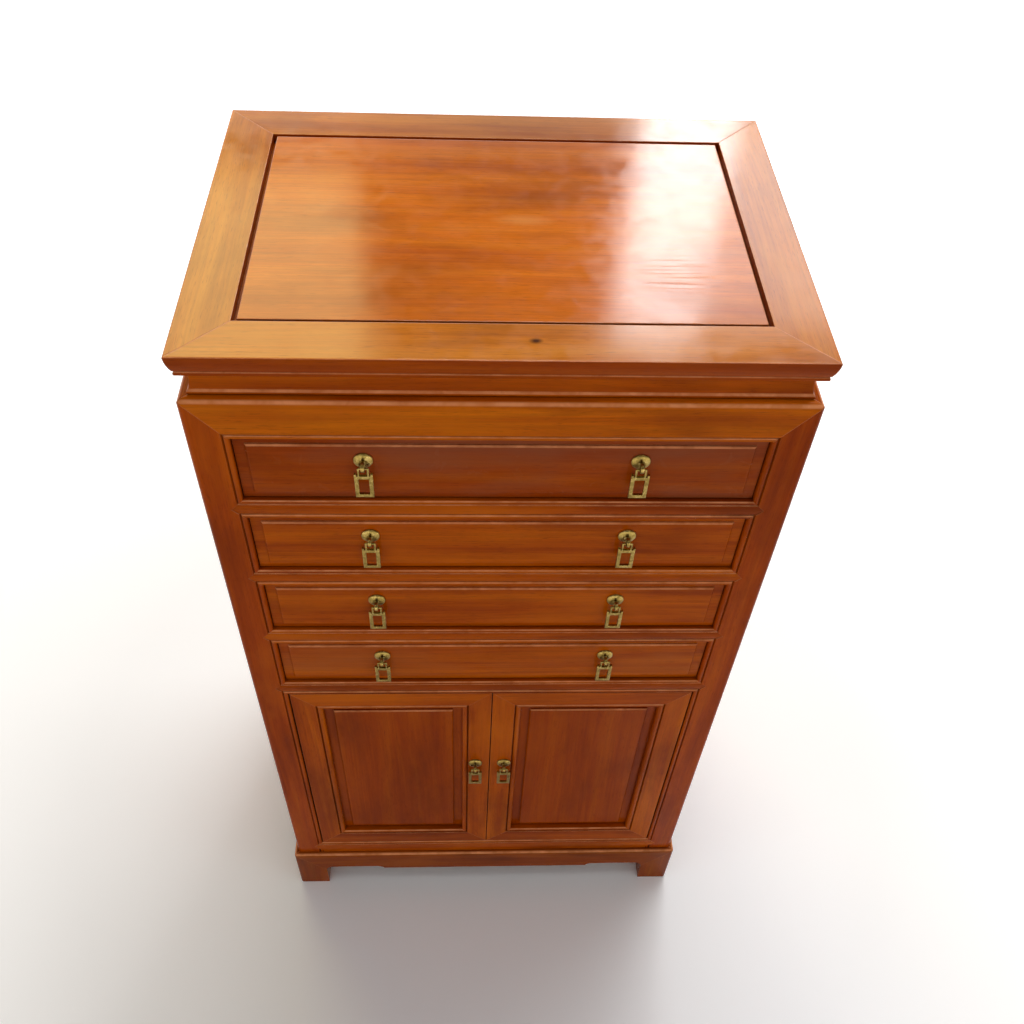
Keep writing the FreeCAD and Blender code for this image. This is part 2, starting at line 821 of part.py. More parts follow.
def make_drop(label, x, face, z):
    """The origin is on the axis of the shackle's round bar, about which the drop swings."""
    body = new_body(label)
    half = drop_width / 2
    top = -shackle_drop
    frame = new_sketch(body, "XZ")
    draw_path(frame, [
        (half, top - drop_height),
        (half, top + ear),
        (half - ear_width, top + ear),
        (half - ear_width, top),
        (ear_width - half, top),
        (ear_width - half, top + ear),
        (-half, top + ear),
        (-half, top - drop_height),
    ])
    draw_path(frame, box_path(drop_bar - half, top - drop_height + drop_bar, half - drop_bar, top - drop_bar))
    pad(body, frame, drop_thick, both_ways=True)
    legs = new_sketch(body, "XZ")
    leg = box_path(shackle_half - wire, top - drop_bar / 2, shackle_half + wire, wire)
    draw_path(legs, leg)
    draw_path(legs, mirrored(leg))
    pad(body, legs, 2 * wire, both_ways=True)
    bar = new_sketch(body, "YZ")
    draw_path(bar, polygon(wire, BAR_SIDES, within=True))
    pad(body, bar, 2 * shackle_half, both_ways=True)
    return node(place(body, x, face - eye_ahead, z - bar_drop))


def make_pulls(owner, spots, face, z, grip):
    """The pulls of one drawer or door; the fixed pieces share one node, and each drop is its own."""
    fixed = []
    for name, x in spots:
        fixed.append(make_rose(f"{owner}{name}_rose", x, face, z))
        fixed.append(make_eye(f"{owner}{name}_eye", x, face, z, grip))
        make_drop(f"{owner}{name}_drop", x, face, z)
    group(f"{owner}_pull_fixings", fixed)


# Drawers: a front with a raised field, lapped over two sides, with a back and a bottom let into slots
front_width = opening - 2 * drawer_gap
front_height = drawer_opening - 2 * drawer_gap
half_front = front_width / 2
inner_front_half = half_front - side_thick
front_plan = [
    (-half_front, 0),
    (half_front, 0),
    (half_front, front_lap),
    (inner_front_half, front_lap),
    (inner_front_half, front_thick),
    (-inner_front_half, front_thick),
    (-inner_front_half, front_lap),
    (-half_front, front_lap),
]
drawer_end = -front - panel_sink - panel_thick - stop_gap
border_face = front + drawer_recess
slot_top = slot_low + bottom_thick
pull_spots = (("_left", -pull_spread), ("_right", pull_spread))
for k, top in enumerate(rail_tops):
    label = f"drawer_{k + 1}"
    low = top + drawer_gap
    face = new_body(f"{label}_front")
    plan = new_sketch(face, "XY")
    draw_path(plan, front_plan)
    pad(face, plan, front_height)
    field = new_sketch(face, "XZ")
    draw_path(field, box_path(field_border - half_front, field_margin,
                              half_front - field_border, front_height - field_margin))
    bevel_front(face, pad(face, field, field_raise), field_ease)
    cut_paths(face, "YZ", [box_path(front_thick - slot_reach, slot_low, front_thick + margin, slot_top)])
    pull_height = front_height / 2 + pull_lift
    cut_paths(face, "XZ", [shank_slot(x, pull_height) for name, x in pull_spots])
    node(place(face, 0, border_face, low))

    side_length = drawer_end - border_face - front_lap
    boards = []
    for name, hand in (("left", -1), ("right", 1)):
        board = new_body(f"{label}_{name}_side")
        section = new_sketch(board, "XZ")
        path = [
            (0, 0),
            (side_thick, 0),
            (side_thick, side_height),
            (0, side_height),
            (0, slot_top),
            (slot_reach, slot_top),
            (slot_reach, slot_low),
            (0, slot_low),
        ]
        draw_path(section, path if hand > 0 else mirrored(path))
        pad(board, section, side_length, backwards=True)
        boards.append(place(board, hand * inner_front_half, border_face + front_lap, low))
    board = block(f"{label}_back", 2 * inner_front_half, side_thick, side_height - slot_top)
    boards.append(place(board, 0, drawer_end - side_thick, low + slot_top))
    bottom_front = border_face + front_thick - slot_reach
    bottom_width = 2 * inner_front_half + 2 * slot_reach
    board = block(f"{label}_bottom", bottom_width, drawer_end - bottom_front, bottom_thick)
    boards.append(place(board, 0, bottom_front, low + slot_low))
    group(f"{label}_box", boards)
    make_pulls(label, pull_spots, field_face, low + pull_height, front_thick + field_raise)

# Doors: mitred frames with a raised and fielded panel, turning on brass pivots in the rails above and below
door_height = door_top - door_low - 2 * door_gap
door_width = (opening - 2 * hinge_gap - door_gap) / 2
door_middle = door_low + door_gap + door_height / 2
leaf_top = leaf_low + leaf_thick
leaf_slot = stile_width - tongue_reach - tongue_room
door_section = [
    (0, 0),
    (stile_width, 0),
    (stile_width, leaf_low),
    (leaf_slot, leaf_low),
    (leaf_slot, leaf_top),
    (stile_width, leaf_top),
    (stile_width, door_thick - door_bead, door_bead, 1),
    (stile_width - door_bead, door_thick, door_bead, 1),
    (stile_width - 2 * door_bead, door_thick - door_bead),
    (stile_width - 2 * door_bead - quirk, door_thick),
    (0, door_thick),
]
upright = turned(90, (1, 0, 0))
door_back = door_face + door_thick
pin_length = pin_depth + door_gap + pin_reach
pins = []
for name, hand in (("left", -1), ("right", 1)):
    middle = hand * (door_gap / 2 + door_width / 2)
    axis_x = hand * pivot_x
    axis_y = front + pivot_y
    seats = {}
    for level, z in (("bottom", door_low + door_gap - margin), ("top", door_top - door_gap - pin_reach)):
        seats[level] = doc.addObject("Part::Cylinder", "Seat")
        bind(seats[level], "Radius", pin_radius + pin_play)
        bind(seats[level], "Height", pin_reach + margin)
        place(seats[level], axis_x, axis_y, z)

    members = {"rail": [], "stile": []}
    for turn, part_name, length in ((0, "bottom_rail", door_width), (90, "right_stile", door_height),
                                    (180, "top_rail", door_width), (270, "left_stile", door_height)):
        member = moulding(f"{name}_door_{part_name}_blank", door_section, length)
        cut_plan_mitres(member, length, stile_width)
        level, kind = part_name.split("_")
        if part_name == ("right_stile" if hand < 0 else "left_stile"):
            along = door_pull_lift if hand < 0 else -door_pull_lift
            cut_paths(member, "XY", [shank_slot(along, door_pull_in - door_gap / 2, lying=True)])
        spots = {0: (middle, door_low + door_gap), 90: (middle + door_width / 2, door_middle),
                 180: (middle, door_top - door_gap), 270: (middle - door_width / 2, door_middle)}
        x, z = spots[turn]
        place(member, x, door_back, z, turned(turn, (0, -1, 0)) * upright)
        if kind == "rail":
            member = cut_from(f"{name}_door_{part_name}", member, seats[level])
        members[kind].append(member)
    group(f"{name}_door_stiles", members["stile"])
    group(f"{name}_door_rails", members["rail"])

    leaf = new_body(f"{name}_door_panel")
    plate = new_sketch(leaf, "XZ")
    half_leaf = door_width / 2 - stile_width
    leaf_half_height = door_height / 2 - stile_width
    draw_path(plate, box_path(-half_leaf - tongue_reach, -leaf_half_height - groove_depth,
                              half_leaf + tongue_reach, leaf_half_height + tongue_reach))
    pad(leaf, plate, leaf_thick)
    field = new_sketch(leaf, "XZ", leaf_thick)
    draw_path(field, box_path(leaf_border - half_leaf, leaf_border - leaf_half_height,
                              half_leaf - leaf_border, leaf_half_height - leaf_border))
    bevel_front(leaf, pad(leaf, field, leaf_raise), field_ease)
    node(place(leaf, middle, door_back - leaf_low, door_middle))
    pull_spot = (("", hand * door_pull_in),)
    make_pulls(f"{name}_door", pull_spot, door_face, door_middle + door_pull_lift, door_thick)

    for level, z in (("lower", door_low - pin_depth), ("upper", door_top + pin_depth - pin_length)):
        pin = doc.addObject("Part::Cylinder", "Pin")
        pin.Label = f"{name}_door_{level}_pivot"
        bind(pin, "Radius", pin_radius)
        bind(pin, "Height", pin_length)
        pins.append(place(pin, axis_x, axis_y, z))
group("door_pivots", pins)

doc.recompute()

# Every object must have come out sound before anything is written
for thing in doc.Objects:
    if "Invalid" in thing.State or "Error" in thing.State:
        raise RuntimeError(f"{thing.Label} ({thing.Name}): {thing.State}")
os.makedirs("parts", exist_ok=True)
labels = [thing.Label for thing in nodes]
if len(set(labels)) != len(labels):
    raise RuntimeError("two nodes share a name")
for thing in nodes:
    shape = thing.Shape
    if shape.isNull() or not shape.isValid() or not shape.Solids:
        raise RuntimeError(f"{thing.Label} has no sound solid")
    shape.exportStep(f"parts/{thing.Label}.step")
print(len(nodes), "nodes")
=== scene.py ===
import json
import math

import bmesh
import bpy
from mathutils import Matrix, Vector

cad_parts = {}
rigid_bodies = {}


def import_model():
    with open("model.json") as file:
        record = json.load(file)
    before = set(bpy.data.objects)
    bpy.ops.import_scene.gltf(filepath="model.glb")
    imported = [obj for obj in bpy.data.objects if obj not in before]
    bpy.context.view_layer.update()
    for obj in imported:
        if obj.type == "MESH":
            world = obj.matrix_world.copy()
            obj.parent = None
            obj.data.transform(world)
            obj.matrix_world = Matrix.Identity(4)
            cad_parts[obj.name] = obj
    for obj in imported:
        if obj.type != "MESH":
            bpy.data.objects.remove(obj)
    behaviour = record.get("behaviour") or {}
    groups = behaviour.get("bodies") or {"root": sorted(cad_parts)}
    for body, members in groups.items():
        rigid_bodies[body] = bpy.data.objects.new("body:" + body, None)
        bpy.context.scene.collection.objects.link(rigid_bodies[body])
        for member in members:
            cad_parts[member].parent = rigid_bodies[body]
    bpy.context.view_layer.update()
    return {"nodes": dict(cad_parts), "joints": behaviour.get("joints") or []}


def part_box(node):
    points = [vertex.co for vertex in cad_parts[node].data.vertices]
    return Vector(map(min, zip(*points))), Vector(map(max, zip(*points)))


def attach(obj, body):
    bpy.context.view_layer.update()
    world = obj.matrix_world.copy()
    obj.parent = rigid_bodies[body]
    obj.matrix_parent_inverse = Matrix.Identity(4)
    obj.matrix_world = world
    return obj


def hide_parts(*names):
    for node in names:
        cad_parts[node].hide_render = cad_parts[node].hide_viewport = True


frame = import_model()
nodes = frame["nodes"]

MM = 0.001


# Materials

def colour(red, green, blue):
    """A shader colour from the 0 to 255 values that a screen shows."""
    def linear(level):
        level = level / 255
        return level / 12.92 if level <= 0.04045 else ((level + 0.055) / 1.055) ** 2.4
    return (linear(red), linear(green), linear(blue), 1.0)


def scaled(tint, share):
    """The same colour, darker or lighter."""
    return tuple(min(1.0, share * part) for part in tint[:3]) + (1.0,)


class Shader:
    """One material's node tree, with short calls to add nodes and link them."""

    def __init__(self, name):
        self.material = bpy.data.materials.new(name)
        self.material.use_nodes = True
        self.tree = self.material.node_tree
        self.surface = self.tree.nodes["Principled BSDF"]

    def add(self, kind, settings=None, **inputs):
        """Adds a node; an input is a constant or another node's output socket."""
        made = self.tree.nodes.new("ShaderNode" + kind)
        for key, value in (settings or {}).items():
            setattr(made, key, value)
        self.feed(made, **inputs)
        return made

    def feed(self, made, **inputs):
        """Sets inputs by name, or by number where the key is i0, i1 and so on."""
        for key, value in inputs.items():
            numbered = key[0] == "i" and key[1:].isdigit()
            socket = made.inputs[int(key[1:])] if numbered else made.inputs[key.replace("_", " ")]
            if isinstance(value, bpy.types.NodeSocket):
                self.tree.links.new(value, socket)
            else:
                socket.default_value = value

    def noise(self, vector, scale, detail=2.0, roughness=0.5, distortion=0.0):
        made = self.add("TexNoise", Vector=vector, Scale=scale, Detail=detail, Roughness=roughness,
                        Distortion=distortion)
        return made.outputs["Fac"]

    def stretch(self, vector, scale, shift=(0, 0, 0)):
        return self.add("Mapping", Vector=vector, Scale=scale, Location=shift).outputs["Vector"]

    def span(self, value, low, high, to_low=0.0, to_high=1.0):
        """Carries a value from one range to another, held at the ends."""
        return self.add("MapRange", i0=value, i1=low, i2=high, i3=to_low, i4=to_high).outputs[0]

    def mix(self, share, first, second):
        return self.add("Mix", {"data_type": "RGBA"}, i0=share, i6=first, i7=second).outputs[2]

    def shade(self, tint, level):
        """A colour times a grey level."""
        grey = self.add("CombineColor", Red=level, Green=level, Blue=level).outputs[0]
        made = self.add("Mix", {"data_type": "RGBA", "blend_type": "MULTIPLY"}, i0=1.0, i6=tint, i7=grey)
        return made.outputs[2]

    def ramp(self, value, stops):
        made = self.add("ValToRGB", Fac=value)
        spots = made.color_ramp.elements
        while len(spots) < len(stops):
            spots.new(0.5)
        for spot, (place, tint) in zip(spots, stops):
            spot.position = place
            spot.color = tint
        return made.outputs["Color"]

    def maths(self, kind, first, second):
        return self.add("Math", {"operation": kind}, i0=first, i1=second).outputs[0]

    def arris(self, radius, samples=6):
        """A normal rounded over the arrises, and a mask that is 1 on them."""
        rounded = self.add("Bevel", {"samples": samples}, Radius=radius).outputs[0]
        flat = self.add("NewGeometry").outputs["Normal"]
        same = self.add("VectorMath", {"operation": "DOT_PRODUCT"}, i0=rounded, i1=flat).outputs["Value"]
        return rounded, self.span(same, 0.995, 0.80)

    def near(self, spot, centre, radii, ragged):
        """A mask that is 1 at a point and fades out towards an uneven edge round it."""
        away = self.stretch(spot, tuple(1 / part for part in radii),
                            tuple(-at / part for at, part in zip(centre, radii)))
        far = self.add("VectorMath", {"operation": "LENGTH"}, i0=away).outputs["Value"]
        return self.span(self.maths("ADD", far, self.maths("MULTIPLY", ragged, 0.8)), 1.4, 0.6)


def along(grain, far, across):
    """A scale that is small along the grain and large across it."""
    return tuple(far if axis == grain else across for axis in "XYZ")


# Lacquered wood: how far its grain wanders, how wide its arrises are worn and painted with highlight, and
# how far the painted shade of narrow places reaches
GRAIN_SWAY = 0.03
ARRIS_RADIUS = 1.2 * MM
PAINTED_SHADE_REACH = 5 * MM
BUMP_DEPTH = 0.6 * MM
BUMP_SHARE = 0.06
HAZE = colour(122, 74, 56)
PALE_MARK = colour(214, 150, 84)
# Pale tone of worn arrises, and painted highlight on beads and arrises that face up
WEAR_AND_HIGHLIGHT = colour(242, 158, 104)


def lacquered(name, grain, tones, shift, haze=0.0, gloss=0.16, shine=0.045,
              knot=None, pale=None, darker_zone=None, scuff=None):
    """Lacquered rosewood: fine grain along one axis, pores, a patchy old finish, arrises rubbed pale, beads
    and arrises that face up painted pale as a painted highlight, and painted shade in narrow places.

    tones are dark, middle and light, and shift moves the grain so that members differ. knot, pale,
    darker_zone and scuff are marks: the middle and the radii of each, in metres.
    """
    dark, middle, light = tones
    shader = Shader(name)
    spot = shader.add("TexCoord").outputs["Object"]
    slow = shader.noise(shader.stretch(spot, along(grain, 1.5, 9), (shift, shift, shift)), 1.0)
    sway = shader.add("CombineXYZ", X=slow, Y=slow, Z=slow).outputs[0]
    bend = shader.add("VectorMath", {"operation": "SCALE"}, i0=sway, Scale=GRAIN_SWAY).outputs[0]
    bent = shader.add("VectorMath", {"operation": "ADD"}, i0=spot, i1=bend).outputs[0]

    # Noise stretched along the grain, from broad figure to fine pores, and two that are patchy
    figure = shader.noise(shader.stretch(bent, along(grain, 1.6, 46), (shift, 2 * shift, shift)),
                          1.0, 4, 0.6, 0.3)
    lines = shader.noise(shader.stretch(bent, along(grain, 9, 420), (shift, shift, 0)), 1.0, 3, 0.6)
    pores = shader.noise(shader.stretch(bent, along(grain, 95, 1500), (0, shift, shift)), 1.0, 1)
    patch = shader.noise(shader.stretch(bent, along(grain, 5, 15), (shift, 0, shift)), 1.0, 4, 0.6)
    smear = shader.noise(spot, 46.0, 3, 0.6, 0.6)

    # Colour: the figure, fine lines, dark pores, then darker and lighter patches
    base = shader.ramp(figure, [(0.30, dark), (0.50, middle), (0.72, light)])
    base = shader.shade(base, shader.span(lines, 0.32, 0.68, 0.87, 1.10))
    base = shader.mix(shader.span(pores, 0.60, 0.72, 0.0, 0.42), base, scaled(dark, 0.4))
    base = shader.mix(shader.span(patch, 0.48, 0.28, 0.0, 0.6), base, scaled(dark, 0.60))
    base = shader.mix(shader.span(patch, 0.52, 0.72, 0.0, 0.6), base, light)
    dull = shader.span(smear, 0.30, 0.75, gloss * 0.8, gloss * 1.6)

    # Marks that only some members have
    if haze:
        base = shader.mix(shader.span(patch, 0.45, 0.68, 0.0, haze), base, HAZE)
    if knot:
        base = shader.mix(shader.near(spot, *knot, smear), base, scaled(dark, 0.16))
    # Darker towards the middle of a zone
    if darker_zone:
        base = shader.shade(base, shader.span(shader.near(spot, *darker_zone, patch), 0.0, 1.0, 1.0, 0.70))
    if pale:
        faded = shader.maths("MULTIPLY", shader.near(spot, *pale, smear), 0.35)
        base = shader.mix(faded, base, PALE_MARK)
    if scuff:
        worn = shader.maths("MULTIPLY", shader.near(spot, *scuff, smear), shader.span(lines, 0.45, 0.60))
        dull = shader.maths("ADD", dull, shader.maths("MULTIPLY", worn, 0.22))

    # Painted highlight and wear: beads and arrises that face up are painted pale, partly as rubbed wear and
    # partly as the highlight of light from above, and narrow places get painted shade
    rounded, arris = shader.arris(ARRIS_RADIUS)
    lean = shader.add("SeparateXYZ", i0=rounded).outputs["Z"]
    # Painted highlight: arrises are painted paler the more they face up, and the band of each bead that
    # faces up and forward is painted pale
    highlight_upward = shader.span(lean, 0.1, 0.6, 0.25, 1.0)
    bead_highlight = shader.maths("MULTIPLY", shader.span(lean, 0.35, 0.60), shader.span(lean, 0.95, 0.80))
    edge_wear_and_highlight = shader.maths("MAXIMUM", bead_highlight, shader.maths("MULTIPLY", arris, highlight_upward))
    pale_wear_and_highlight = shader.maths("MULTIPLY", edge_wear_and_highlight, shader.span(smear, 0.35, 0.65, 0.45, 0.95))
    base = shader.mix(pale_wear_and_highlight, base, WEAR_AND_HIGHLIGHT)
    # Painted shade: narrow places, which little light reaches, are painted darker
    open_air = shader.add("AmbientOcclusion", {"samples": 6}, Distance=PAINTED_SHADE_REACH).outputs["AO"]
    base = shader.shade(base, shader.span(open_air, 0.20, 0.75, 0.35, 1.0))

    # Surface: sunken pores and a slight unevenness under the lacquer
    sunken = shader.maths("MULTIPLY", pores, -0.35)
    height = shader.maths("ADD", sunken, shader.maths("MULTIPLY", smear, 0.25))
    bump = shader.add("Bump", Strength=BUMP_SHARE, Distance=BUMP_DEPTH, Height=height, Normal=rounded)
    shader.feed(shader.surface, Base_Color=base, Roughness=dull, Normal=bump.outputs[0],
                Specular_IOR_Level=shine)
    return shader.material


WAXED_ARRIS = 0.6 * MM


def waxed(name, grain, dark, light):
    """Waxed inner wood, paler and less glossy than the outside."""
    shader = Shader(name)
    spot = shader.add("TexCoord").outputs["Object"]
    figure = shader.noise(shader.stretch(spot, along(grain, 1.4, 42)), 1.0, 4, 0.6, 0.5)
    lines = shader.noise(shader.stretch(spot, along(grain, 9, 420)), 1.0, 3, 0.55)
    stain = shader.noise(spot, 9.0, 3, 0.6)
    base = shader.ramp(figure, [(0.32, dark), (0.68, light)])
    base = shader.shade(base, shader.span(lines, 0.30, 0.70, 0.82, 1.08))
    base = shader.mix(shader.span(stain, 0.55, 0.75, 0.0, 0.35), base, scaled(dark, 0.5))
    rounded, arris = shader.arris(WAXED_ARRIS, 4)
    base = shader.mix(shader.maths("MULTIPLY", arris, 0.3), base, scaled(light, 1.2))
    bump = shader.add("Bump", Strength=0.2, Distance=BUMP_DEPTH, Height=lines, Normal=rounded)
    shader.feed(shader.surface, Base_Color=base, Roughness=shader.span(stain, 0.3, 0.7, 0.42, 0.62),
                Normal=bump.outputs[0])
    return shader.material


# Brass: dull, middle and bright tones, the tone of its rubbed arrises, and the sizes of its wear
BRASS = (colour(122, 100, 48), colour(164, 138, 72), colour(196, 170, 104))
RUBBED_BRASS = colour(232, 210, 150)
BRASS_ARRIS = 0.5 * MM
SCRATCH_DEPTH = 0.2 * MM


def brass(name, scratched):
    """Old yellow brass: worn bright on the arrises and olive elsewhere, with fine scratches."""
    dull, middle, bright = BRASS
    shader = Shader(name)
    spot = shader.add("TexCoord").outputs["Object"]
    cloud = shader.noise(spot, 210.0, 4, 0.6, 0.4)
    scratch = shader.noise(shader.stretch(spot, scratched), 1.0, 2)
    rounded, arris = shader.arris(BRASS_ARRIS)
    base = shader.ramp(cloud, [(0.30, dull), (0.52, middle), (0.75, bright)])
    base = shader.mix(shader.maths("MULTIPLY", arris, 0.6), base, RUBBED_BRASS)
    bump = shader.add("Bump", Strength=0.10, Distance=SCRATCH_DEPTH, Height=scratch, Normal=rounded)
    shader.feed(shader.surface, Base_Color=base, Roughness=shader.span(cloud, 0.3, 0.7, 0.40, 0.22),
                Metallic=1.0, Normal=bump.outputs[0])
    return shader.material


# Dark, middle and light tones of each group of members, and dark and light ones of the inner woods
# TOP and FRAME, for the upper faces of the top, are lighter than the front: partly the wood's colour and
# partly painted light from above
TOP = (colour(180, 84, 6), colour(196, 99, 9), colour(208, 113, 16))
FRAME = (colour(168, 86, 12), colour(188, 106, 20), colour(200, 122, 30))
FRONT = (colour(142, 53, 0), colour(176, 75, 0), colour(202, 99, 3))
RAIL = (colour(158, 64, 0), colour(192, 90, 1), colour(214, 113, 6))
PANEL = (colour(142, 52, 0), colour(160, 63, 0), colour(174, 76, 0))
POST = (colour(142, 50, 0), colour(170, 67, 0), colour(194, 89, 2))
BASE = (colour(122, 48, 2), colour(148, 64, 5), colour(168, 84, 12))
INNER = (colour(132, 92, 56), colour(172, 130, 86))
BOX = (colour(146, 106, 66), colour(186, 146, 98))

# The top is smoother and shinier than the front, and darker at the back
TOP_GLOSS = 0.12
TOP_SHINE = 0.5
DARKER_ZONE = ((0.02, 0.19, 0.956), (0.19, 0.18, 0.2))

looks = {
    "top_x": lacquered("top_x", "X", FRAME, 0.3, gloss=TOP_GLOSS, shine=TOP_SHINE, darker_zone=DARKER_ZONE,
                       knot=((0.0225, -0.156, 0.956), (0.006, 0.004, 0.01))),
    "top_y": lacquered("top_y", "Y", FRAME, 1.7, gloss=TOP_GLOSS, shine=TOP_SHINE),
    "top_shaded_edge_x": lacquered("top_shaded_edge_x", "X", PANEL, 0.3),
    "top_shaded_edge_y": lacquered("top_shaded_edge_y", "Y", PANEL, 1.7),
    "top_panel": lacquered("top_panel", "X", TOP, 2.9, gloss=TOP_GLOSS, shine=TOP_SHINE, darker_zone=DARKER_ZONE,
                           pale=((0.020, 0.006, 0.956), (0.030, 0.010, 0.01)),
                           scuff=((0.148, -0.074, 0.956), (0.045, 0.040, 0.02))),
    "waist_x": lacquered("waist_x", "X", FRONT, 0.9),
    "waist_y": lacquered("waist_y", "Y", FRONT, 1.1),
    "post": lacquered("post", "Z", POST, 0.5),
    "rail": lacquered("rail", "X", FRONT, 2.2),
    "top_rail": lacquered("top_rail", "X", RAIL, 1.4),
    "drawer_1": lacquered("drawer_1", "X", PANEL, 3.1, haze=0.5, gloss=0.2),
    "drawer_2": lacquered("drawer_2", "X", FRONT, 4.3),
    "drawer_3": lacquered("drawer_3", "X", FRONT, 5.2),
    "drawer_4": lacquered("drawer_4", "X", FRONT, 6.4, haze=0.25),
    "stile": lacquered("stile", "Z", FRONT, 3.6),
    "door_rail": lacquered("door_rail", "X", FRONT, 4.9),
    "door_panel": lacquered("door_panel", "Z", PANEL, 5.7),
    "side_rail": lacquered("side_rail", "Y", FRONT, 6.1),
    "side_panel": lacquered("side_panel", "Z", FRONT, 7.3),
    "apron_x": lacquered("apron_x", "X", BASE, 7.7),
    "apron_y": lacquered("apron_y", "Y", BASE, 8.2),
    "foot": lacquered("foot", "Z", BASE, 8.8),
    "inner_x": waxed("inner_x", "X", *INNER),
    "inner_y": waxed("inner_y", "Y", *INNER),
    "box_x": waxed("box_x", "X", *BOX),
    "box_y": waxed("box_y", "Y", *BOX),
    "drop_brass": brass("drop_brass", (2600, 2600, 260)),
    "fixing_brass": brass("fixing_brass", (260, 2600, 2600)),
}

LOOK_OF_NODE = {
    "top_panel": "top_panel", "waist": "waist_x", "front_top_rail": "top_rail", "base_feet": "foot",
    "base_long_aprons": "apron_x", "base_short_aprons": "apron_y", "drawer_runners": "inner_y",
    "cupboard_boards": "inner_x", "door_stop": "inner_x",
    "left_rails": "side_rail", "right_rails": "side_rail",
    "left_panel": "side_panel", "right_panel": "side_panel", "back_panel": "side_panel",
    "top_frame_front": "top_x", "top_frame_back": "top_x",
    "top_frame_left": "top_y", "top_frame_right": "top_y",
    "door_pivots": "fixing_brass",
}
LOOK_OF_ENDING = {
    "_post": "post", "_box": "box_x", "_door_stiles": "stile", "_door_rails": "door_rail",
    "_door_panel": "door_panel",
}
# Members at the left and right of these nodes have their grain from front to back
SIDE_LOOK = {"waist_x": "waist_y", "box_x": "box_y"}
SIDE_REACH = 0.022
# The moulded edge of the top is darker and duller than its upper face; the lighter upper tones and the
# darker edge tones are in part painted light and painted shade, for light that falls from above
SHADED_EDGE_LOOK = {"top_x": "top_shaded_edge_x", "top_y": "top_shaded_edge_y"}
FACES_UP = 0.95


def look_of(name):
    """The look of a CAD node, from its name."""
    if name in LOOK_OF_NODE:
        return LOOK_OF_NODE[name]
    if name.startswith("drawer_") and name.endswith("_front"):
        return name[:len("drawer_1")]
    for ending, look in LOOK_OF_ENDING.items():
        if name.endswith(ending):
            return look
    return "rail"


for name, thing in nodes.items():
    look = look_of(name)
    thing.data.materials.clear()
    thing.data.materials.append(looks[look])
    if look in SIDE_LOOK:
        thing.data.materials.append(looks[SIDE_LOOK[look]])
        lowest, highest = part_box(name)
        for face in thing.data.polygons:
            x = face.center.x
            face.material_index = int(min(x - lowest.x, highest.x - x) < SIDE_REACH)
    # Painted light and shade: faces of the top's members that face up keep the lighter tones, and the rest
    # take the darker edge tones
    if look in SHADED_EDGE_LOOK:
        thing.data.materials.append(looks[SHADED_EDGE_LOOK[look]])
        for face in thing.data.polygons:
            face.material_index = int(face.normal.z < FACES_UP)


# Pulls, in millimetres: a domed rose, a strip eye with tails spread behind the wood, and a swinging drop
ROSE_RADIUS, ROSE_HEIGHT, ROSE_RIM = 8.2, 3.5, 0.8
EYE_OUTER, EYE_STRIP, EYE_WIDTH, EYE_AHEAD = 4.5, 1.2, 3.0, 8.2
TAIL_REACH = 9.0
WIRE, SHACKLE_HALF, SHACKLE_DROP = 1.1, 4.0, 8.0
DROP_WIDTH, DROP_HEIGHT, DROP_BAR, DROP_THICK = 15.5, 25.0, 3.4, 3.0
EAR, EAR_WIDTH = 2.2, 1.8
BAR_DROP = 2.1
EASE = 0.45
WELD = 0.001
ROUND_STEPS = 40
DOME_STEPS = 10
SMOOTH_BELOW = math.radians(38)

# Turns that carry a drawing's own axes to those of the part
FACING = Matrix.Rotation(math.radians(90), 4, "X")
SIDEWAYS = Matrix(((0, 0, 1, 0), (1, 0, 0, 0), (0, 1, 0, 0), (0, 0, 0, 1)))


def circle(radius, first=0.0, last=360.0):
    """Points round part or all of a circle, in degrees."""
    whole = last - first == 360.0
    steps = ROUND_STEPS if whole else ROUND_STEPS + 1
    turns = [math.radians(first + (last - first) * step / ROUND_STEPS) for step in range(steps)]
    return [(radius * math.cos(turn), radius * math.sin(turn)) for turn in turns]


def curve_mesh(kind, outlines, closed, **settings):
    """The mesh of a curve object with these splines."""
    curve = bpy.data.curves.new("drawing", "CURVE")
    for outline in outlines:
        spline = curve.splines.new(kind)
        spline.points.add(len(outline) - 1)
        for point, (x, y) in zip(spline.points, outline):
            point.co = (x, y, 0.0, 1.0)
        spline.use_cyclic_u = closed
        if kind == "NURBS":
            spline.order_u = 3
            spline.use_endpoint_u = True
    for key, value in settings.items():
        setattr(curve, key, value)
    holder = bpy.data.objects.new("drawing", curve)
    mesh = bpy.data.meshes.new_from_object(holder)
    bpy.data.objects.remove(holder)
    bpy.data.curves.remove(curve)
    return mesh


def plate(outlines, thick):
    """A flat plate with eased arrises; the first outline is its edge and the others are holes."""
    return curve_mesh("POLY", outlines, True, dimensions="2D", fill_mode="BOTH", extrude=thick / 2 - EASE,
                      bevel_depth=EASE, bevel_resolution=2, offset=-EASE)


